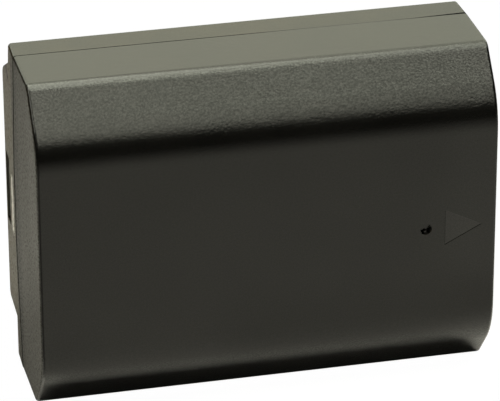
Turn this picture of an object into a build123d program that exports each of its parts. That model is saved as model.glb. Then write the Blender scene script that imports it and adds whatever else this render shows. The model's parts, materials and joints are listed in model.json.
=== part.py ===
"""Two-cell camera battery. Millimetres, +Z up, front face toward -Y, contact end toward +X."""

import os
from math import radians, tan

from build123d import *

# Overall size, standing on one long narrow side
pack_length = 51.6
pack_height = 38.7
pack_depth = 22.7

# End outline of the case. Depths run back from the front face.
bevel_depth = 4.95
bevel_height = 5.7
bevel_round = 8.0
crown_round = 1.3
shoulder_width = 5.85
shoulder_slant = 0.65
shoulder_drop = 2.5
seam_to_shoulder = 3.85
shoulder_round = 0.3
foot_round = 0.5
rear_drop = 5.2
rear_round = 1.2

# Moulding
wall = 0.95
tail_wall = 2.1
contact_wall = 1.5
front_draft = 0.1
rear_draft = 2.0
end_round = 0.4
tail_setback = 0.05
lip_thickness = 0.4
lip_height = 0.8
lip_clearance = 0.05

# Groove along the seam, which opens out on top toward the contact end
groove_width = 0.13
groove_sink = 0.3
gap_width = 0.42
gap_length = 9.0

# Tongue of the front half, which laps over the tail end of the rear half
tongue_reach = 2.0
tongue_thickness = 1.0
tongue_root_low = 0.8
tongue_root_drop = 1.3
tongue_tip_low = 14.0
tongue_tip_drop = 14.0
tongue_clearance = 0.06

# Marks on the front face
mark_drop = 0.45
arrow_from_end = 5.95
arrow_length = 4.25
arrow_width = 4.3
arrow_slope = 0.06
arrow_sink = 0.025
pit_from_end = 8.1
pit_diameter = 1.3
pit_sink = 0.65
nub_diameter = 0.36
nub_height = 0.3
nub_drop = 0.5

# Key notch and latch recess in the tail end, pocket for the contacts in the other
notch_sink = 1.0
notch_overlap = 0.45
notch_height = 5.1
latch_sink = 1.0
latch_width = 2.6
latch_height = 8.4
latch_rim = 0.8
pocket_height = 8.4
pocket_rim = 1.1

# Cells, the largest that the case holds beside the pads and the board
cell_clearance = 0.18
cell_gap = 0.16
cell_end_room = 0.55
pad_thickness = 0.28
board_room = 2.38
sleeve_thickness = 0.12
cap_diameter = 8.0
cap_rise = 0.35
bottom_round = 0.6
rim_width = 1.2
crimp_from_top = 3.0
crimp_width = 1.2
crimp_sink = 0.45
washer_bore = 9.6
washer_thickness = 0.2

# Strips, sheets and thermal fuse
strip_thickness = 0.15
strip_width = 4.0
foot_width = 3.4
foot_overlap = 2.5
tap_width = 2.0
sheet_thickness = 0.2
sheet_clearance = 0.3
fuse_from_edge = 6.2
fuse_length = 5.0
fuse_width = 3.4
fuse_thickness = 1.1
fuse_gap = 1.2
negative_from_edge = 3.7

# Board, its parts and the contacts
board_thickness = 0.8
board_height = 10.0
board_length = 36.0
board_gap = 0.3
strip_clearance = 0.13
board_corner = 0.6
chip_corner = 0.15
block_height = 9.8
block_length = 3.4
nose_clearance = 0.1
nose_reach = 0.6
contact_pitch = 2.0
contact_thickness = 0.4
contact_width = 1.4
contact_tail = 1.7
contact_setback = 0.3
slot_height = 1.1
slot_clearance = 0.4
slot_sink = 3.0

# Parts on the board: length, height and thickness of each
chip_sizes = {
    "protection_chip": (3.0, 3.0, 1.0),
    "gauge_chip": (4.0, 4.0, 0.9),
    "charge_switch": (3.3, 3.3, 0.9),
    "discharge_switch": (3.3, 3.3, 0.9),
    "sense_resistor": (3.2, 1.6, 0.6),
}
capacitor_size = (1.6, 0.8, 0.8)
sensor_size = (1.6, 0.8, 0.8)

# Their middles: along from the board's contact end, and up from mid height
chip_places = {
    "protection_chip": (16.0, 2.3),
    "gauge_chip": (23.0, 0.0),
    "charge_switch": (9.6, -2.45),
    "discharge_switch": (13.7, -2.45),
    "sense_resistor": (4.8, -0.2),
}
capacitor_columns = (19.2, 27.8, 30.8)
capacitor_rows = (-3.2, 3.2)
sensor_from_edge = 19.8

# Ribs, pads and bead that hold the cells
rib_thickness = 1.0
rib_width = 6.0
rib_count = 3
rib_margin = 2.75
rib_pitch = 11.0
pad_width = 5.0
pad_margin = 7.0
bead_width = 6.0
bead_height = 3.0
bead_margin = 4.0

same = 1e-4

# Places that follow from the sizes above
middle = pack_height / 2
left_end = -pack_length / 2
right_end = pack_length / 2
shoulder_depth = pack_depth - shoulder_width
shoulder_foot = shoulder_depth + shoulder_slant
seam_depth = shoulder_depth - seam_to_shoulder
notch_depth = shoulder_depth - notch_overlap
latch_rear = pack_depth - latch_rim
latch_front = latch_rear - latch_width
pocket_rear = pack_depth - pocket_rim
inner_left = left_end + tail_wall
inner_right = right_end - contact_wall
inner_middle = (inner_left + inner_right) / 2
inner_rear = pack_depth - wall
cell_radius = min(
    (pack_height - 2 * (wall + cell_clearance) - cell_gap) / 4,
    (inner_rear - board_room - pad_thickness - wall) / 2,
)
can_radius = cell_radius - sleeve_thickness
cell_depth = wall + pad_thickness + cell_radius
upper_height = middle + cell_radius + cell_gap / 2
lower_height = middle - cell_radius - cell_gap / 2
cell_left = inner_left + cell_end_room
cell_right = inner_right - cell_end_room
board_rear = cell_depth + cell_radius + strip_clearance
board_front = board_rear - board_thickness
strip_rear = board_rear + strip_thickness
board_right = inner_right - block_length - board_gap
board_left = board_right - board_length
pocket_front = board_front - nose_clearance
mark_height = middle - mark_drop


def back(depth):
    """Y of a depth measured from the front face."""
    return depth - pack_depth / 2


def draw_outline():
    """Sharp end outline of the case, in the open sketch."""
    lower = [
        (back(0), bevel_height),
        (back(bevel_depth), 0),
        (back(shoulder_depth), 0),
        (back(shoulder_foot), shoulder_drop),
        (back(pack_depth), rear_drop),
    ]
    upper = [(y, pack_height - z) for y, z in reversed(lower)]
    Polygon(*lower, *upper, align=None)


def round_at(place, radius):
    """Rounds the corners of the open sketch that lie at one place on its own X."""
    fillet(vertices().filter_by_position(Axis.X, place - same, place + same), radius)


def draw_outer():
    draw_outline()
    round_at(back(0), bevel_round)
    round_at(back(bevel_depth), crown_round)
    round_at(back(shoulder_depth), shoulder_round)
    round_at(back(shoulder_foot), foot_round)
    round_at(back(pack_depth), rear_round)


def draw_inner(depth_in):
    """Outline of the room inside, depth_in from the outer faces."""
    draw_outline()
    offset(amount=-depth_in, kind=Kind.INTERSECTION)
    round_at(back(depth_in), bevel_round - depth_in)


def draw_tongue():
    """Side view of the tongue, in the open sketch."""
    seam, tip = back(seam_depth), back(seam_depth + tongue_reach)
    Polygon(
        (seam, tongue_root_low),
        (tip, tongue_tip_low),
        (tip, pack_height - tongue_tip_drop),
        (seam, pack_height - tongue_root_drop),
        align=None,
    )


def draw_arrow():
    """Outline of the insertion arrow, in the open sketch."""
    start = right_end - arrow_from_end
    Polygon(
        (start, mark_height - arrow_width / 2),
        (start + arrow_length, mark_height),
        (start, mark_height + arrow_width / 2),
        align=None,
    )


def end_edges():
    """Edges around both end faces, except those on the seam."""
    ends = faces().filter_by(lambda face: abs(face.normal_at().X) > 0.99)
    return [edge for edge in ends.edges() if abs(edge.center().Y - back(seam_depth)) > same]


def block_between(x0, x1, depth0, depth1, z0, z1, mode=Mode.ADD):
    """Block between two values on each axis."""
    with Locations(((x0 + x1) / 2, back((depth0 + depth1) / 2), (z0 + z1) / 2)):
        Box(x1 - x0, depth1 - depth0, z1 - z0, mode=mode)


def seam_block(grow, reach, mode):
    """Block behind the seam, larger than the room inside by grow all round."""
    low, high = wall - grow, pack_height - wall + grow
    block_between(
        inner_left - grow, inner_right + grow, seam_depth, seam_depth + reach, low, high, mode
    )


def cut_cells():
    """Takes both cells out of the open part."""
    for height in (upper_height, lower_height):
        with Locations(Location((inner_middle, back(cell_depth), height), (0, 90, 0))):
            Cylinder(cell_radius, inner_right - inner_left, mode=Mode.SUBTRACT)


def end_strip(x0, depth0, z0, z1):
    """Strip across the ends of the cells, from a depth to the line of the side strips."""
    block_between(x0, x0 + strip_thickness, depth0, strip_rear, z0, z1)


def side_strip(x0, x1, z0, z1):
    """Strip along the rear of the cells, lying on the board where it crosses it."""
    block_between(x0, x1, board_rear, strip_rear, z0, z1)


# Solid halves of the case, with draft on both ends. The rear one stands proud at the tail end.
halves = {}
for name, face_depth, draft, step in (
    ("front", 0, front_draft, tail_setback),
    ("rear", pack_depth, rear_draft, 0),
):
    inset = abs(seam_depth - face_depth) * tan(radians(draft))
    tail_end = left_end + step
    with BuildPart() as half:
        with BuildSketch(Plane.YZ.offset(left_end)):
            draw_outer()
        extrude(amount=pack_length)
        with BuildSketch(Plane.XY):
            Polygon(
                (tail_end + inset, back(face_depth)),
                (right_end - inset, back(face_depth)),
                (right_end, back(seam_depth)),
                (tail_end, back(seam_depth)),
                align=None,
            )
        extrude(amount=pack_height, mode=Mode.INTERSECT)
        fillet(end_edges(), end_round)
    halves[name] = half

with BuildPart() as room:
    with BuildSketch(Plane.YZ.offset(inner_left)):
        draw_inner(wall)
    extrude(amount=inner_right - inner_left)

# The tongue follows the drafted face of the rear half, a step below it
with BuildPart() as tongue:
    with BuildSketch(Plane.YZ.offset(left_end)):
        draw_tongue()
    extrude(amount=tongue_thickness)
    add(halves["rear"].part.moved(Location((tail_setback, 0, 0))), mode=Mode.INTERSECT)

with BuildPart() as front_case:
    add(halves["front"].part)
    seam_block(lip_thickness, lip_height, Mode.ADD)
    add(room.part, mode=Mode.SUBTRACT)
    add(tongue.part)
    # Insertion arrow, a shallow triangle with sloping sides
    with BuildSketch(Plane.XZ.offset(pack_depth / 2)):
        draw_arrow()
    with BuildSketch(Plane.XZ.offset(pack_depth / 2 - arrow_sink)):
        draw_arrow()
        offset(amount=-arrow_slope, kind=Kind.INTERSECTION, mode=Mode.REPLACE)
    loft(ruled=True, mode=Mode.SUBTRACT)
    # Gate well of the mould, with the broken gate left in it
    pit_place = right_end - pit_from_end
    with BuildSketch(Plane.XZ.offset(pack_depth / 2)):
        with Locations((pit_place, mark_height)):
            Circle(pit_diameter / 2)
    extrude(amount=-pit_sink, mode=Mode.SUBTRACT)
    with BuildSketch(Plane.XZ.offset(pack_depth / 2 - pit_sink)):
        with Locations((pit_place, mark_height - nub_drop)):
            Circle(nub_diameter / 2)
    extrude(amount=nub_height)

with BuildPart() as rear_case:
    add(halves["rear"].part)
    with BuildSketch(Plane.XZ.offset(-back(seam_depth))):
        with Locations((0, middle)):
            Rectangle(pack_length, pack_height)
        with Locations((-groove_sink, middle)):
            Rectangle(pack_length, pack_height - 2 * groove_sink, mode=Mode.SUBTRACT)
    extrude(amount=-groove_width, mode=Mode.SUBTRACT)
    with BuildSketch(Plane.XY.offset(pack_height)):
        Polygon(
            (right_end, back(seam_depth)),
            (right_end, back(seam_depth + gap_width)),
            (right_end - gap_length, back(seam_depth)),
            align=None,
        )
    extrude(amount=-groove_sink, mode=Mode.SUBTRACT)
    add(room.part, mode=Mode.SUBTRACT)
    seam_block(lip_thickness + lip_clearance, lip_height + lip_clearance, Mode.SUBTRACT)
    with BuildSketch(Plane.YZ.offset(left_end)):
        draw_tongue()
        offset(amount=tongue_clearance, kind=Kind.INTERSECTION)
    extrude(amount=tongue_thickness + tongue_clearance, mode=Mode.SUBTRACT)
    pocket_low, pocket_high = middle - pocket_height / 2, middle + pocket_height / 2
    block_between(
        inner_right, right_end, pocket_front, pocket_rear, pocket_low, pocket_high, Mode.SUBTRACT
    )
    latch_low, latch_high = middle - latch_height / 2, middle + latch_height / 2
    latch_floor = left_end + latch_sink
    block_between(
        left_end, latch_floor, latch_front, latch_rear, latch_low, latch_high, Mode.SUBTRACT
    )
    notch_floor = left_end + notch_sink
    block_between(left_end, notch_floor, notch_depth, pack_depth, 0, notch_height, Mode.SUBTRACT)
    for count in range(rib_count):
        place = inner_left + rib_margin + count * rib_pitch
        for height in (upper_height, lower_height):
            low, high = height - rib_width / 2, height + rib_width / 2
            block_between(place, place + rib_thickness, cell_depth, inner_rear, low, high)
    cut_cells()

made = {"front_case": front_case, "rear_case": rear_case}

# Cells. The upper one has its cap at the contact end, the lower one at the link end.
for name, height, plus in (("upper", upper_height, 1), ("lower", lower_height, -1)):
    bottom, top = (cell_left, cell_right) if plus > 0 else (cell_right, cell_left)
    rim = top - plus * cap_rise
    crimp = rim - plus * crimp_from_top
    axis = Axis((0, back(cell_depth), height), (1, 0, 0))
    half_section = Plane((0, back(cell_depth), height), x_dir=(1, 0, 0), z_dir=(0, -1, 0))
    with BuildPart() as cell:
        with BuildSketch(half_section):
            Polygon(
                (bottom, 0),
                (bottom, can_radius - bottom_round),
                (bottom + plus * bottom_round, can_radius),
                (crimp - plus * crimp_width / 2, can_radius),
                (crimp, can_radius - crimp_sink),
                (crimp + plus * crimp_width / 2, can_radius),
                (rim, can_radius),
                (rim, can_radius - rim_width),
                (rim - plus * cap_rise, can_radius - rim_width),
                (rim - plus * cap_rise, cap_diameter / 2),
                (top, cap_diameter / 2),
                (top, 0),
                align=None,
            )
        revolve(axis=axis)
    with BuildPart() as sleeve:
        with BuildSketch(half_section):
            Polygon(
                (bottom + plus * bottom_round, can_radius),
                (rim, can_radius),
                (rim, cell_radius),
                (bottom + plus * bottom_round, cell_radius),
                align=None,
            )
        revolve(axis=axis)
    with BuildPart() as washer:
        with BuildSketch(half_section):
            Polygon(
                (rim, washer_bore / 2),
                (rim, can_radius),
                (rim + plus * washer_thickness, can_radius),
                (rim + plus * washer_thickness, washer_bore / 2),
                align=None,
            )
        revolve(axis=axis)
    with BuildPart() as pad:
        low, high = height - pad_width / 2, height + pad_width / 2
        block_between(
            inner_left + pad_margin, inner_right - pad_margin, wall, cell_depth, low, high
        )
        add(room.part, mode=Mode.INTERSECT)
        cut_cells()
    made.update(
        {
            f"{name}_cell": cell,
            f"{name}_sleeve": sleeve,
            f"{name}_cap_ring": washer,
            f"{name}_pad": pad,
        }
    )

with BuildPart() as adhesive_bead:
    half = bead_width / 2
    block_between(
        inner_left + bead_margin, inner_right - bead_margin, cell_depth - half, cell_depth + half,
        middle - bead_height / 2, middle + bead_height / 2,
    )
    cut_cells()

# Nickel strips, spot welded to the cell ends and soldered to the board
weld_front = cell_depth - strip_width / 2
weld_rear = cell_depth + strip_width / 2
upper_low, upper_high = upper_height - strip_width / 2, upper_height + strip_width / 2
lower_low, lower_high = lower_height - strip_width / 2, lower_height + strip_width / 2
strip_left = cell_left - strip_thickness
strip_right = cell_right + strip_thickness
fuse_right = board_right - fuse_from_edge
fuse_left = fuse_right - fuse_length
fuse_middle = (fuse_left + fuse_right) / 2
board_low, board_high = middle - board_height / 2, middle + board_height / 2

with BuildPart() as positive_strip:
    end_strip(cell_right, weld_front, upper_low, upper_high)
    side_strip(fuse_middle + fuse_gap / 2, strip_right, upper_low, upper_high)

with BuildPart() as fuse_strip:
    fuse_foot = fuse_middle - fuse_gap / 2
    side_strip(fuse_foot - foot_width, fuse_foot, board_high - foot_overlap, upper_high)

with BuildPart() as negative_strip:
    negative_right = board_right - negative_from_edge
    negative_left = negative_right - foot_width
    end_strip(cell_right, weld_front, lower_low, lower_high)
    side_strip(negative_left, strip_right, lower_low, lower_high)
    side_strip(negative_left, negative_right, lower_low, board_low + foot_overlap)

with BuildPart() as series_link:
    tap_low, tap_high = middle - tap_width / 2, middle + tap_width / 2
    block_between(strip_left, cell_left, weld_front, weld_rear, lower_low, upper_high)
    end_strip(strip_left, weld_rear, tap_low, tap_high)
    side_strip(strip_left, board_left + tap_width, tap_low, tap_high)

with BuildPart() as thermal_fuse:
    low, high = upper_height - fuse_width / 2, upper_height + fuse_width / 2
    block_between(fuse_left, fuse_right, strip_rear, strip_rear + fuse_thickness, low, high)
    fillet(edges().filter_by(Axis.Y), board_corner)

# Board with its parts
with BuildPart() as circuit_board:
    block_between(board_left, board_right, board_front, board_rear, board_low, board_high)
    fillet(edges().filter_by(Axis.Y), board_corner)


def seat_chip(along, up, size, side=1):
    """Part on the rear of the board, or on its front where side is -1."""
    length, height, thickness = size
    face = board_rear if side > 0 else board_front
    near, far = sorted((face, face + side * thickness))
    x, z = board_right - along, middle + up
    block_between(
        x - length / 2, x + length / 2, near, far, z - height / 2, z + height / 2
    )


for name, (along, up) in chip_places.items():
    with BuildPart() as chip:
        seat_chip(along, up, chip_sizes[name])
        chamfer(faces().sort_by(Axis.Y)[-1].edges(), chip_corner)
    made[name] = chip

with BuildPart() as chip_capacitors:
    for along in capacitor_columns:
        for up in capacitor_rows:
            seat_chip(along, up, capacitor_size)

with BuildPart() as temperature_sensor:
    seat_chip(sensor_from_edge, 0, sensor_size, side=-1)

# Contacts, in slots of a block that fills the pocket of the case
contact_names = ("negative_contact", "sensor_contact", "data_contact", "positive_contact")
nose_face = inner_right + nose_reach
contacts = {}
for count, name in enumerate(contact_names):
    height = middle + (count - (len(contact_names) - 1) / 2) * contact_pitch
    with BuildPart() as contact:
        block_between(
            board_right - contact_tail, nose_face - contact_setback, board_rear,
            board_rear + contact_width, height - contact_thickness / 2,
            height + contact_thickness / 2,
        )
    contacts[name] = contact
    made[name] = contact

with BuildPart() as terminal_block:
    block_between(
        inner_right - block_length, inner_right, board_front, pocket_rear,
        middle - block_height / 2, middle + block_height / 2,
    )
    nose_half = pocket_height / 2 - nose_clearance
    block_between(
        inner_right, nose_face, pocket_front + nose_clearance, pocket_rear - nose_clearance,
        middle - nose_half, middle + nose_half,
    )
    for contact in contacts.values():
        height = contact.part.center().Z
        low, high = height - slot_height / 2, height + slot_height / 2
        block_between(
            nose_face - slot_sink, nose_face, board_rear - slot_clearance,
            board_rear + contact_width + slot_clearance, low, high, Mode.SUBTRACT,
        )
        add(contact.part, mode=Mode.SUBTRACT)

# Insulating sheets over the cell ends
with BuildPart() as contact_end_sheet:
    with BuildSketch(Plane.YZ.offset(strip_right)):
        draw_inner(wall + sheet_clearance)
    extrude(amount=sheet_thickness)
    half = block_height / 2 + sheet_clearance
    block_between(
        strip_right, inner_right, board_front - sheet_clearance, pack_depth, middle - half,
        middle + half, Mode.SUBTRACT,
    )

with BuildPart() as link_end_sheet:
    with BuildSketch(Plane.YZ.offset(strip_left)):
        draw_inner(wall + sheet_clearance)
    extrude(amount=-sheet_thickness)

made.update(
    adhesive_bead=adhesive_bead,
    positive_strip=positive_strip,
    fuse_strip=fuse_strip,
    negative_strip=negative_strip,
    series_link=series_link,
    thermal_fuse=thermal_fuse,
    circuit_board=circuit_board,
    chip_capacitors=chip_capacitors,
    temperature_sensor=temperature_sensor,
    terminal_block=terminal_block,
    contact_end_sheet=contact_end_sheet,
    link_end_sheet=link_end_sheet,
)

os.makedirs("parts", exist_ok=True)
for name, built in made.items():
    built.part.label = name
    export_step(built.part, f"parts/{name}.step")
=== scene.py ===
import json
import math

import bpy
from mathutils import Matrix, Quaternion, Vector


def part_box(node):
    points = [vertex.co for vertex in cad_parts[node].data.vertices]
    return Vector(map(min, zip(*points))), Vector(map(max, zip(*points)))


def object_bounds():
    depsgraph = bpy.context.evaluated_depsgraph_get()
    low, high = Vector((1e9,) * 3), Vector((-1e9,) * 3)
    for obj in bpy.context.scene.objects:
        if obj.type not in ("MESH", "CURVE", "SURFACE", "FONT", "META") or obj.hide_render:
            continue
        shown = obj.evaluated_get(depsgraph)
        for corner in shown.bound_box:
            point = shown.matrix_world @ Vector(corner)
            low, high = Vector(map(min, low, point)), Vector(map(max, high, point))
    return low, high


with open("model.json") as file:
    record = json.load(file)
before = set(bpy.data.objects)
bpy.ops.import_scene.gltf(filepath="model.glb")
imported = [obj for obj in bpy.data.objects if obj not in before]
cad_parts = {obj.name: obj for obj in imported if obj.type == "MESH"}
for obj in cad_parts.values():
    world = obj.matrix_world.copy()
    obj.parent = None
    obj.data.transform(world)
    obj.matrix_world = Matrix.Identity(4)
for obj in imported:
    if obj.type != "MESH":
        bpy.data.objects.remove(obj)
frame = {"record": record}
cad_box = [[float(v) for v in corner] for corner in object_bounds()]
scene = bpy.context.scene

# Sides of the case in metres. The tail end is on the left, and the arrow points to the right.
MM = 0.001
(LEFT, FRONT, BASE), (RIGHT, REAR, CREST) = cad_box
MIDDLE = 0.0
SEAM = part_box("rear_case")[0].y
ARROW_START = RIGHT - 5.95 * MM


def span(origin, first, last):
    """Two places given in millimetres from a side of the case: where a fade starts and where it ends."""
    return origin + first * MM, origin + last * MM


class Nodes:
    """Short way to build a material's node tree."""

    def __init__(self, tree):
        self.tree = tree
        tree.nodes.clear()

    def fill(self, slot, value):
        if isinstance(value, bpy.types.NodeSocket):
            self.tree.links.new(value, slot)
        else:
            slot.default_value = value

    def add(self, kind, **values):
        """New node. A value named in_0 or in_Scale goes to that input, and others are settings."""
        node = self.tree.nodes.new(kind)
        for key, value in values.items():
            if key.startswith("in_"):
                name = key[3:]
                self.fill(node.inputs[int(name) if name.isdigit() else name], value)
            else:
                setattr(node, key, value)
        return node

    def link(self, out, slot):
        self.tree.links.new(out, slot)

    def math(self, operation, a, b=0.0):
        return self.add("ShaderNodeMath", operation=operation, in_0=a, in_1=b).outputs[0]

    def product(self, first, *others):
        for other in others:
            first = self.math("MULTIPLY", first, other)
        return first

    def greatest(self, first, *others):
        for other in others:
            first = self.math("MAXIMUM", first, other)
        return first

    def total(self, a, a_share, b, b_share):
        return self.math("ADD", self.product(a, a_share), self.product(b, b_share))

    def vector(self, operation, a, b=(0.0, 0.0, 0.0)):
        return self.add("ShaderNodeVectorMath", operation=operation, in_0=a, in_1=b).outputs[0]

    def ramp(self, value, fade, out=(0.0, 1.0)):
        """Soft step from out[0] to out[1] while the value goes through the fade."""
        node = self.add("ShaderNodeMapRange", interpolation_type="SMOOTHSTEP", in_0=value)
        for index, number in enumerate((*fade, *out)):
            node.inputs[index + 1].default_value = number
        return node.outputs[0]

    def window(self, value, rise, fall):
        """Mask that is 1 between two fades."""
        return self.product(self.ramp(value, rise), self.ramp(value, fall))

    def where_masked(self, mask, factor, otherwise=1.0):
        """Factor where the mask is 1, and the other number where it is 0."""
        return self.ramp(mask, (0.0, 1.0), (otherwise, factor))

    def noise(self, where, scale, detail=2.0, roughness=0.5, distortion=0.0):
        return self.add(
            "ShaderNodeTexNoise", in_Vector=where, in_Scale=scale, in_Detail=detail,
            in_Roughness=roughness, in_Distortion=distortion,
        ).outputs["Fac"]

    def mix(self, factor, a, b):
        return self.add("ShaderNodeMix", data_type="RGBA", in_0=factor, in_6=a, in_7=b).outputs[2]


def new_material(name):
    material = bpy.data.materials.new(name)
    material.use_nodes = True
    n = Nodes(material.node_tree)
    output = n.add("ShaderNodeOutputMaterial")
    shader = n.add("ShaderNodeBsdfPrincipled")
    n.link(shader.outputs[0], output.inputs["Surface"])
    where = n.add("ShaderNodeTexCoord").outputs["Object"]
    return material, n, shader, where


# Case plastic, built from small functions that share one description of the surface
EVEN = (1.0, 1.0, 1.0, 1.0)
DARK_PLASTIC = (0.0026, 0.0024, 0.0020, 1.0)
PALE_PLASTIC = (0.0048, 0.0045, 0.0037, 1.0)
CONTACT_END_DUST = (0.012, 0.011, 0.009, 1.0)
# Painted light: the rear side of the latch recess, pale where it is seen lit
LATCH_SIDE_PAINTED_LIGHT = (0.085, 0.082, 0.068, 1.0)
# Painted shadow of the seam where it gapes on top
SEAM_GAP_PAINTED_SHADOW = (0.002, 0.002, 0.002, 1.0)
RAGGED_MARK_PALE = (0.95, 0.93, 0.86, 1.0)
GRAIN_HEIGHT = 0.04 * MM
PLASTIC_IOR = 1.5


class CaseSurface:
    """Where a point of the case is, which way it faces, and masks of the sides."""

    def __init__(self, n, where):
        self.n, self.where = n, where
        self.x, self.y, self.z = n.add("ShaderNodeSeparateXYZ", in_0=where).outputs
        self.normal = n.add("ShaderNodeNewGeometry").outputs["Normal"]
        side, self.facing, self.tilt = n.add("ShaderNodeSeparateXYZ", in_0=self.normal).outputs
        self.across = n.math("ABSOLUTE", side)
        self.along = n.math("ABSOLUTE", self.facing)
        self.upward = n.math("ABSOLUTE", self.tilt)
        self.face = n.ramp(self.along, (0.84, 0.97))
        self.top = n.ramp(self.upward, (0.985, 0.999))
        self.end = n.ramp(self.across, (0.6, 0.95))
        self.tail = n.product(self.end, n.ramp(self.x, span(MIDDLE, 10, -10)))
        self.tail_edge = n.ramp(self.x, span(LEFT, 1.3, 0.9))
        self.cloud = n.noise(where, scale=90.0, detail=4.0, roughness=0.6)


def moulded_grain(case):
    """Height of the mould's fine grain."""
    n = case.n
    coarse = n.noise(case.where, scale=4300.0, roughness=0.55, distortion=0.4)
    fine = n.noise(case.where, scale=9000.0, roughness=0.6)
    return n.total(coarse, 0.8, fine, 0.2)


def grain_share(case):
    """The grain is nearly flat on the front, the rear and the top, and lower toward the tail end."""
    n = case.n
    broad_faces = n.ramp(case.along, (0.90, 0.99), (1.0, 0.2))
    along_case = n.ramp(case.x, span(MIDDLE, -26, 12), (0.7, 1.0))
    return n.product(broad_faces, n.where_masked(case.top, 0.3), along_case)


def crown_normal(case):
    """Normal that is tilted up a little, so that the crown runs out softly into the front bevel."""
    n = case.n
    along_case = span(MIDDLE, -20, 20)
    lift = n.product(
        n.ramp(case.z, span(CREST, -0.8, -0.3), (0.0, 0.28)),
        n.ramp(case.z, span(CREST, -0.01, -0.3)),
        n.ramp(case.facing, (-0.02, -0.2)),
        n.ramp(case.x, along_case, (0.95, 0.7)),
    )
    start = n.ramp(case.z, span(CREST, -0.4, -0.02))
    start_turned = n.ramp(case.facing, (-0.02, -0.1))
    brow = n.product(start, start, start_turned, n.ramp(case.x, along_case, (0.0, 0.8)))
    tilted = n.add("ShaderNodeCombineXYZ", in_2=n.math("ADD", lift, brow)).outputs[0]
    return n.vector("NORMALIZE", n.vector("ADD", case.normal, tilted))


def tail_darkening_and_crease_shade(case, crease_shaded):
    """Factor that darkens the tail end toward the seam, with painted shadow in the crease at its upper rear
    corner.
    """
    n = case.n
    near_seam = n.window(case.y, span(SEAM, -3.85, 1.35), span(SEAM, 2.55, 2.05))
    darkening_and_crease_shade = n.where_masked(n.product(case.tail, near_seam), 0.42)
    if crease_shaded:
        crease_slope = 0.5
        slant = n.math("SUBTRACT", case.z, n.product(case.y, crease_slope))
        # Painted shadow in the crease at the upper rear corner of the tail end
        crease_shade = n.product(
            n.window(slant, span(BASE, 30.3, 30.7), span(BASE, 31.5, 31.1)),
            n.ramp(case.y, span(REAR, -5.55, -4.95)),
            case.tail,
        )
        darkening_and_crease_shade = n.product(darkening_and_crease_shade, n.where_masked(crease_shade, 0.2))
    return darkening_and_crease_shade


def dusty_colour_and_painted_light(case, grain, darkening_and_crease_shade, tail_dust):
    """Black plastic with dust on the ends and a little on top. One side of the latch recess is painted
    pale, as painted light where that side is seen lit.
    """
    n = case.n
    speck = n.total(case.cloud, 0.5, grain, 0.5)
    plastic = n.mix(n.ramp(speck, (0.4, 0.62)), DARK_PLASTIC, PALE_PLASTIC)
    dust = n.mix(n.ramp(case.x, span(RIGHT, -5.8, -1.8)), tail_dust, CONTACT_END_DUST)
    on_top = n.product(case.top, n.ramp(case.cloud, (0.35, 0.65), (0.05, 0.3)))
    # Dust is less where the tail end darkens toward the seam and where the crease's shadow is painted
    dust_and_crease_shade = n.greatest(n.product(case.end, darkening_and_crease_shade), on_top)
    # Painted light on the rear side of the latch recess
    latch_side_painted_light = n.product(
        n.ramp(case.facing, (-0.9, -0.97)),
        n.ramp(case.y, span(REAR, -1.35, -0.95)),
        case.tail_edge,
    )
    return n.mix(latch_side_painted_light, n.mix(dust_and_crease_shade, plastic, dust), LATCH_SIDE_PAINTED_LIGHT)


def case_roughness(case):
    n = case.n
    by_side = n.math("ADD", n.where_masked(case.end, 0.4, 0.215), n.where_masked(case.face, -0.04, 0.0))
    return n.math("ADD", by_side, n.product(case.cloud, 0.04))


def grained_shine(case, end_shine, top_shine):
    """Specular level as the grain leaves it: hollows dull the ends, and pores the bevels."""
    n = case.n
    drawn_along_draft = n.vector("MULTIPLY", case.where, (1.0, 0.5, 1.0))
    hollows = n.ramp(n.noise(drawn_along_draft, scale=4000.0, roughness=0.7), (0.35, 0.65), (0.04, 0.72))
    ends = n.product(case.end, hollows, n.where_masked(case.tail, end_shine))
    shine = n.math("ADD", ends, n.where_masked(case.end, 0.0, 0.5))
    pores = n.ramp(n.noise(case.where, scale=5200.0, roughness=0.6), (0.36, 0.64), (0.68, 1.36))
    smooth = n.greatest(
        n.product(n.greatest(case.top, case.end), 0.9),
        n.product(case.face, 0.8),
        n.ramp(case.upward, (0.7, 0.85), (0.0, 0.6)),
        n.ramp(case.x, span(MIDDLE, -26, 12), (0.3, 0.0)),
    )
    return n.product(shine, n.mix(smooth, pores, EVEN), n.where_masked(case.top, top_shine))


def painted_sheen_along_case(case):
    """Painted reflection: slow change of the specular level along the bevels, the underside and the front.
    It falls from left to right on the bevels, with a painted highlight underneath toward the tail edge and
    on the front's right side, and painted shade low on the front.
    """
    n = case.n
    bevels = n.ramp(case.x, span(MIDDLE, -35, 30), (1.11, 0.80))
    upper = n.mix(n.product(case.top, 0.75), bevels, EVEN)
    underneath_painted_highlight = n.ramp(case.x, span(LEFT, 4.0, 0.3), (1.08, 2.1))
    painted_sheen = n.mix(n.ramp(case.tilt, (-0.02, -0.12)), upper, underneath_painted_highlight)
    right_painted_highlight = n.product(n.ramp(case.x, span(RIGHT, -8.8, -0.8)), n.ramp(case.z, span(BASE, 9, 16)))
    low_painted_shade = n.product(n.ramp(case.x, span(MIDDLE, -12, 4)), n.ramp(case.z, span(BASE, 17, 8)))
    front = n.product(
        n.ramp(case.x, span(MIDDLE, -30, 30), (1.0, 1.06)),
        n.where_masked(right_painted_highlight, 1.12),
        n.where_masked(low_painted_shade, 0.90),
    )
    patches = n.ramp(case.cloud, (0.35, 0.65), (0.985, 1.015))
    return n.product(n.mix(case.face, painted_sheen, front), patches)


def crown_painted_highlight(case):
    """Factor that raises the shine where the crown starts, more toward the right: a painted highlight."""
    n = case.n
    crown_highlight = n.product(
        n.ramp(case.z, span(CREST, -0.25, -0.08)),
        n.ramp(case.facing, (-0.02, -0.1)),
        n.ramp(case.x, span(MIDDLE, -20, 20), (0.0, 0.34)),
    )
    return n.math("ADD", crown_highlight, 1.0)


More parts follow.
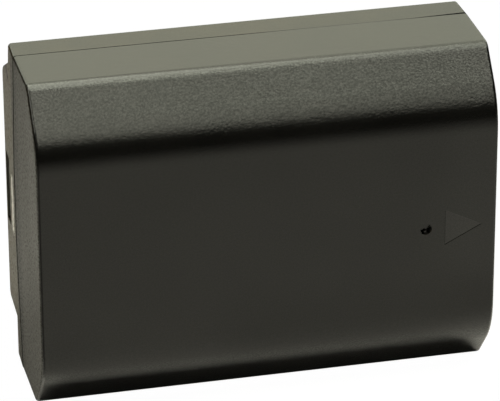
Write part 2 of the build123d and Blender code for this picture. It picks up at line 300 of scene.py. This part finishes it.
def tail_edge_shine_and_painted_light(case):
    """Factor for the tail end's front edge: a shinier strip, painted shade in its rounded corner and along
    its upper rim, and a painted glint on its lower corner.
    """
    n = case.n
    shinier_front_strip = n.product(
        case.tail,
        n.ramp(case.y, span(FRONT, 8.35, 2.85)),
        n.ramp(case.z, span(BASE, 14, 24)),
    )
    corner = n.product(
        n.window(case.across, (0.1, 0.3), (0.75, 0.55)),
        n.ramp(case.along, (0.15, 0.4)),
        case.tail_edge,
    )
    # Painted shade in the rounded corner and on the upper rim
    corner_painted_shade = n.product(corner, n.window(case.tilt, (-0.5, -0.2), (0.4, 0.2)))
    upper_rim_painted_shade = n.product(
        n.window(case.across, (0.6, 0.75), (0.998, 0.99)),
        n.ramp(case.tilt, (0.2, 0.4)),
        case.tail_edge,
    )
    # Painted glint on the lower rounded corner
    lower_corner_painted_glint = n.product(corner, n.ramp(case.tilt, (-0.3, -0.5)))
    return n.product(
        n.where_masked(shinier_front_strip, 1.7),
        n.where_masked(corner_painted_shade, 0.42),
        n.where_masked(upper_rim_painted_shade, 0.15),
        n.where_masked(lower_corner_painted_glint, 2.2),
    )


def arrow_marks(case):
    """Factor for the arrow: painted shade along its steep left side, and a shinier floor."""
    n = case.n
    left_side = n.window(case.x, span(ARROW_START, -0.85, -0.35), span(ARROW_START, 1.65, 1.15))
    left_side_painted_shade = n.product(left_side, n.ramp(case.across, (0.3, 0.36)))
    floor_of_arrow = n.product(
        n.window(case.y, span(FRONT, 0.007, 0.017), span(FRONT, 0.15, 0.05)),
        n.ramp(case.x, span(ARROW_START, -0.35, -0.15)),
        n.window(case.z, span(BASE, 10, 11), span(BASE, 28, 27)),
        case.face,
    )
    return n.product(n.where_masked(left_side_painted_shade, 0.35), n.where_masked(floor_of_arrow, 1.20))


def painted_seam_gap_shadow(case):
    """Mask where the seam gapes on top, painted dark as the shadow inside the gap. No light comes out of
    it.
    """
    n = case.n
    return n.product(
        n.window(case.y, span(SEAM, -0.85, -0.65), span(SEAM, 1.15, 0.95)),
        n.window(case.z, span(CREST, -0.9, -0.7), span(CREST, -0.005, -0.04)),
        n.ramp(case.x, span(RIGHT, -11.8, -4.3)),
        n.ramp(case.across, (0.6, 0.4)),
    )


def pale_ragged_mark(case):
    """Mask of the pale ragged upright mark in front of the latch recess."""
    n = case.n
    upright = n.vector("MULTIPLY", case.where, (1.0, 1.0, 0.32))
    ragged = n.noise(upright, scale=2200.0, detail=5.0, roughness=0.75)
    place = n.product(
        n.window(case.z, span(BASE, 13.0, 16.0), span(BASE, 24.4, 21.6)),
        n.window(case.y, span(REAR, -7.15, -5.95), span(REAR, -3.75, -4.95)),
        n.ramp(case.x, span(LEFT, 0.45, 0.35)),
    )
    return n.ramp(n.product(place, ragged), (0.42, 0.47))


def case_plastic(name, end_shine, top_shine, dust, marked):
    """Black moulded plastic: grain on the bevels and ends, smoother on the broad faces."""
    material, n, shader, where = new_material(name)
    case = CaseSurface(n, where)
    grain = moulded_grain(case)
    relief = n.product(grain, grain_share(case))
    bump = n.add("ShaderNodeBump", in_Distance=GRAIN_HEIGHT, in_Height=relief, in_Normal=crown_normal(case))

    # Tail end darker toward the seam, with painted shadow in its crease, in both colour and shine
    darkening_and_crease_shade = tail_darkening_and_crease_shade(case, crease_shaded=marked)
    # Painted shadow where the seam gapes on top: dark colour and almost no shine
    gap_shadow = painted_seam_gap_shadow(case)
    colour = n.mix(gap_shadow, dusty_colour_and_painted_light(case, grain, darkening_and_crease_shade, dust), SEAM_GAP_PAINTED_SHADOW)
    if marked:
        colour = n.mix(pale_ragged_mark(case), colour, RAGGED_MARK_PALE)
    shine = n.product(
        grained_shine(case, end_shine, top_shine),
        painted_sheen_along_case(case),
        crown_painted_highlight(case),
        darkening_and_crease_shade,
        tail_edge_shine_and_painted_light(case),
        arrow_marks(case),
        n.where_masked(gap_shadow, 0.02),
    )

    n.link(colour, shader.inputs["Base Color"])
    n.link(case_roughness(case), shader.inputs["Roughness"])
    n.link(shine, shader.inputs["Specular IOR Level"])
    n.link(bump.outputs[0], shader.inputs["Normal"])
    shader.inputs["IOR"].default_value = PLASTIC_IOR
    return material


def plain(name, dark, pale, rough, metal=0.0):
    """Small inner parts: two tones of one colour, with a fine relief."""
    material, n, shader, where = new_material(name)
    spots = n.noise(where, scale=900.0, detail=4.0, roughness=0.6)
    tones = n.mix(n.ramp(spots, (0.35, 0.65)), (*dark, 1.0), (*pale, 1.0))
    relief = n.noise(where, scale=2700.0)
    bump = n.add("ShaderNodeBump", in_Distance=0.01 * MM, in_Strength=0.4, in_Height=relief)
    n.link(tones, shader.inputs["Base Color"])
    n.link(n.ramp(spots, (0.3, 0.7), (rough - 0.05, rough + 0.07)), shader.inputs["Roughness"])
    n.link(bump.outputs[0], shader.inputs["Normal"])
    shader.inputs["Metallic"].default_value = metal
    return material


finishes = {
    "cell_metal": dict(dark=(0.5, 0.5, 0.48), pale=(0.64, 0.63, 0.6), rough=0.34, metal=1.0),
    "sleeve_film": dict(dark=(0.03, 0.12, 0.24), pale=(0.05, 0.17, 0.31), rough=0.3),
    "washer_paper": dict(dark=(0.7, 0.69, 0.64), pale=(0.82, 0.8, 0.75), rough=0.8),
    "nickel": dict(dark=(0.5, 0.48, 0.43), pale=(0.66, 0.63, 0.56), rough=0.3, metal=1.0),
    "fuse_body": dict(dark=(0.02, 0.02, 0.02), pale=(0.05, 0.05, 0.05), rough=0.5),
    "board_laminate": dict(dark=(0.012, 0.09, 0.03), pale=(0.02, 0.14, 0.05), rough=0.35),
    "chip_resin": dict(dark=(0.015, 0.015, 0.015), pale=(0.035, 0.035, 0.035), rough=0.5),
    "chip_ceramic": dict(dark=(0.3, 0.22, 0.15), pale=(0.45, 0.35, 0.26), rough=0.45),
    "block_plastic": dict(dark=(0.008, 0.008, 0.008), pale=(0.016, 0.015, 0.014), rough=0.5),
    "contact_plating": dict(dark=(0.75, 0.55, 0.2), pale=(0.88, 0.68, 0.3), rough=0.22, metal=1.0),
    "sheet_paper": dict(dark=(0.6, 0.62, 0.58), pale=(0.75, 0.76, 0.7), rough=0.8),
    "pad_foam": dict(dark=(0.04, 0.04, 0.04), pale=(0.12, 0.12, 0.12), rough=0.9),
    "bead_glue": dict(dark=(0.6, 0.57, 0.48), pale=(0.72, 0.7, 0.6), rough=0.5),
}
slots = {name: plain(name, **finish) for name, finish in finishes.items()}
cases = {
    "front_case": case_plastic(
        "front_case_plastic", end_shine=1.0, top_shine=1.0, dust=(0.018, 0.014, 0.006, 1.0), marked=False
    ),
    "rear_case": case_plastic(
        "rear_case_plastic", end_shine=1.35, top_shine=0.865, dust=(0.065, 0.044, 0.013, 1.0), marked=True
    ),
}
for part in frame["record"]["subparts"]:
    node = part["node"]
    material = cases.get(node) or slots[part["material_slot"]]
    obj = bpy.data.objects[node]
    obj.data.materials.clear()
    obj.data.materials.append(material)

# Camera, solved from the corners of the case
camera_place = (-0.084275, -0.363975, 0.199653)
camera_right = Vector((0.97368, -0.22791, -0.00314))
camera_up = Vector((0.10198, 0.42295, 0.90039))
camera = bpy.data.objects.new("camera", bpy.data.cameras.new("camera"))
scene.collection.objects.link(camera)
camera.data.sensor_fit = "HORIZONTAL"
camera.data.sensor_width = 36.0
camera.data.lens = 266.1
camera.data.clip_start = 0.01
turn = Matrix((camera_right, camera_up, camera_right.cross(camera_up))).transposed()
camera.matrix_world = Matrix.Translation(camera_place) @ turn.to_4x4()
scene.camera = camera


def lamp(name, place, size, power, colour, lights, aim=(0, 0, 0.02), spread=180, roll=0):
    """Soft rectangle that either lights matt surfaces or is only mirrored in gloss."""
    data = bpy.data.lights.new(name, "AREA")
    data.shape = "RECTANGLE"
    data.size, data.size_y = size
    data.energy = power
    data.color = colour
    data.spread = math.radians(spread)
    obj = bpy.data.objects.new(name, data)
    obj.location = place
    toward = (Vector(aim) - Vector(place)).to_track_quat("-Z", "Y")
    obj.rotation_euler = (toward @ Quaternion((0, 0, 1), math.radians(roll))).to_euler()
    obj.visible_camera = False
    obj.visible_glossy, obj.visible_diffuse = not lights, lights
    scene.collection.objects.link(obj)


# Lights: a soft box overhead, a weak fill, and a small one low beside the right end
lamp(
    "overhead_soft_box", place=(0.0, -0.15, 0.65), size=(1.0, 0.22),
    power=5.2, colour=(1.0, 0.985, 0.84), lights=True,
)
lamp(
    "floor_fill", place=(0.25, -0.45, 0.30), size=(0.40, 0.30),
    power=0.06, colour=(1.0, 0.98, 0.84), lights=True,
)
lamp(
    "corner_kick", place=(0.066, -0.004, 0.05), size=(0.016, 0.016),
    power=0.0019, colour=(1.0, 0.98, 0.84), lights=True, aim=(0.0365, -0.004, 0.0), spread=23,
)

# Panels that the bevels, the crown, the top and the tail edge of the case mirror
lamp(
    "front_panel", place=(0.1425, -0.4337, 0.498), size=(0.50, 0.435),
    power=1.64, colour=(1.0, 1.0, 0.83), lights=False, roll=-8,
)
lamp(
    "side_panel", place=(-0.40, -0.16, 0.48), size=(0.36, 0.30),
    power=0.81, colour=(1.0, 1.0, 0.83), lights=False,
)
lamp(
    "rear_panel", place=(0.14, 0.5543, 0.4242), size=(1.2, 0.888),
    power=5.19, colour=(0.985, 1.0, 0.785), lights=False,
)
lamp(
    "crown_panel", place=(0.0513, 0.0880, 0.6539), size=(1.0, 0.525),
    power=8.76, colour=(0.97, 1.0, 0.82), lights=False,
)

# Floor that is white to the camera and shows the object's shadow. Its colour is paler near the object and
# darker farther out, a painted pool of light, so in the gloss it fades into the dim room.
floor_half = 1.6
floor_near_painted_light, floor_far_painted_shade = (0.8, 0.79, 0.78, 1.0), (0.22, 0.22, 0.215, 1.0)
floor_painted_light_fade = (0.03, 0.27)
camera_white, white_share = 1.02, 0.97
floor_mesh = bpy.data.meshes.new("floor")
corners = [(x * floor_half, y * floor_half, 0) for x, y in ((-1, -1), (1, -1), (1, 1), (-1, 1))]
floor_mesh.from_pydata(corners, [], [(0, 1, 2, 3)])
floor = bpy.data.objects.new("floor", floor_mesh)
scene.collection.objects.link(floor)
floor_material = bpy.data.materials.new("floor_white")
floor_material.use_nodes = True
n = Nodes(floor_material.node_tree)
place = n.add("ShaderNodeTexCoord").outputs["Object"]
reach = n.add("ShaderNodeVectorMath", operation="LENGTH", in_0=place).outputs["Value"]
fleck = n.product(n.noise(place, scale=400.0, detail=3.0), 0.04)
# Painted pool of light: the floor's colour is paler near the object and darker farther out
fade = n.math("ADD", n.ramp(reach, floor_painted_light_fade), fleck)
diffuse = n.add("ShaderNodeBsdfDiffuse", in_Color=n.mix(fade, floor_near_painted_light, floor_far_painted_shade))
white = n.add("ShaderNodeEmission", in_Strength=camera_white)
seen = n.product(n.add("ShaderNodeLightPath").outputs["Is Camera Ray"], white_share)
blend = n.add("ShaderNodeMixShader", in_0=seen, in_1=diffuse.outputs[0], in_2=white.outputs[0])
n.add("ShaderNodeOutputMaterial", in_Surface=blend.outputs[0])
floor_mesh.materials.append(floor_material)

# Surroundings: white to the camera, a dim room in reflections
dim_room, camera_backdrop = (0.024, 0.024, 0.022, 1.0), (1.0, 1.0, 1.0, 1.0)
world = bpy.data.worlds.new("studio")
scene.world = world
world.use_nodes = True
n = Nodes(world.node_tree)
seen = n.add("ShaderNodeLightPath").outputs["Is Camera Ray"]
background = n.add("ShaderNodeBackground", in_Color=n.mix(seen, dim_room, camera_backdrop))
n.add("ShaderNodeOutputWorld", in_Surface=background.outputs[0])

scene.view_settings.view_transform = "Standard"
